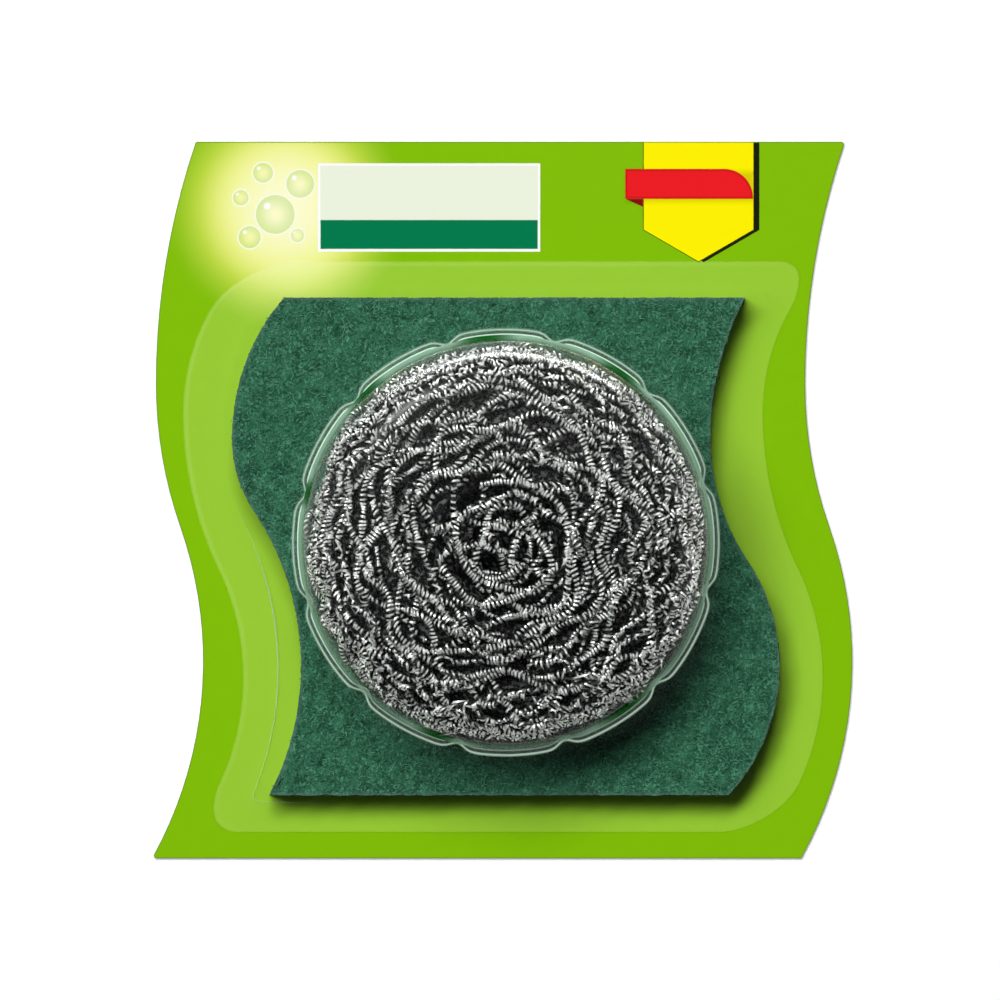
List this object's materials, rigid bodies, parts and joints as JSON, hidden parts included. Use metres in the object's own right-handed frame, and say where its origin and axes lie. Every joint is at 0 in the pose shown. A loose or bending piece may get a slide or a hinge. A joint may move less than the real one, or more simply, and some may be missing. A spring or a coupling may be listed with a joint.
{
  "type": "carded pot scrubber and scrub pad",
  "caption": "Waved backing card with a clear fluted blister over a spiral steel pot scrubber that lies on a waved green scrub pad; the pack lies on its back and its layers lift off.",
  "frame": {"origin": "centre of the card's back face, midway between its top and bottom edges and between its waved sides", "axes": "+Z out of the card's front through the blister, +Y to the card's top edge, +X to the right as the front is read"},
  "size_m": [0.1258, 0.129, 0.0349],
  "materials": {
    "card_print": "printed board, satin varnish",
    "pad_fibre": "coarse non-woven fibre, matt",
    "clear_sheet": "clear thermoformed sheet, glossy",
    "steel_ribbon": "bright shaved ribbon in tight curls",
    "steel_tangle": "open tangle of the same steel ribbon, dark between its curls"
  },
  "bodies": {
    "backing": {"card": "card_print"},
    "pad": {"scrub_pad": "pad_fibre"},
    "scrubber": {"inner_laps": "steel_tangle", "strand_1": "steel_ribbon", "strand_2": "steel_ribbon", "strand_3": "steel_ribbon", "strand_4": "steel_ribbon", "strand_5": "steel_ribbon", "centre_coil": "steel_ribbon"},
    "cover": {"blister": "clear_sheet"}
  },
  "joints": [
    {"name": "pad_lift", "type": "slide", "parent": "backing", "child": "pad", "axis": [0, 0, 1], "range_m": [0, 0.04]},
    {"name": "scrubber_lift", "type": "slide", "parent": "pad", "child": "scrubber", "axis": [0, 0, 1], "range_m": [0, 0.04]},
    {"name": "blister_lift", "type": "slide", "parent": "scrubber", "child": "cover", "axis": [0, 0, 1], "range_m": [0, 0.045]}
  ]
}
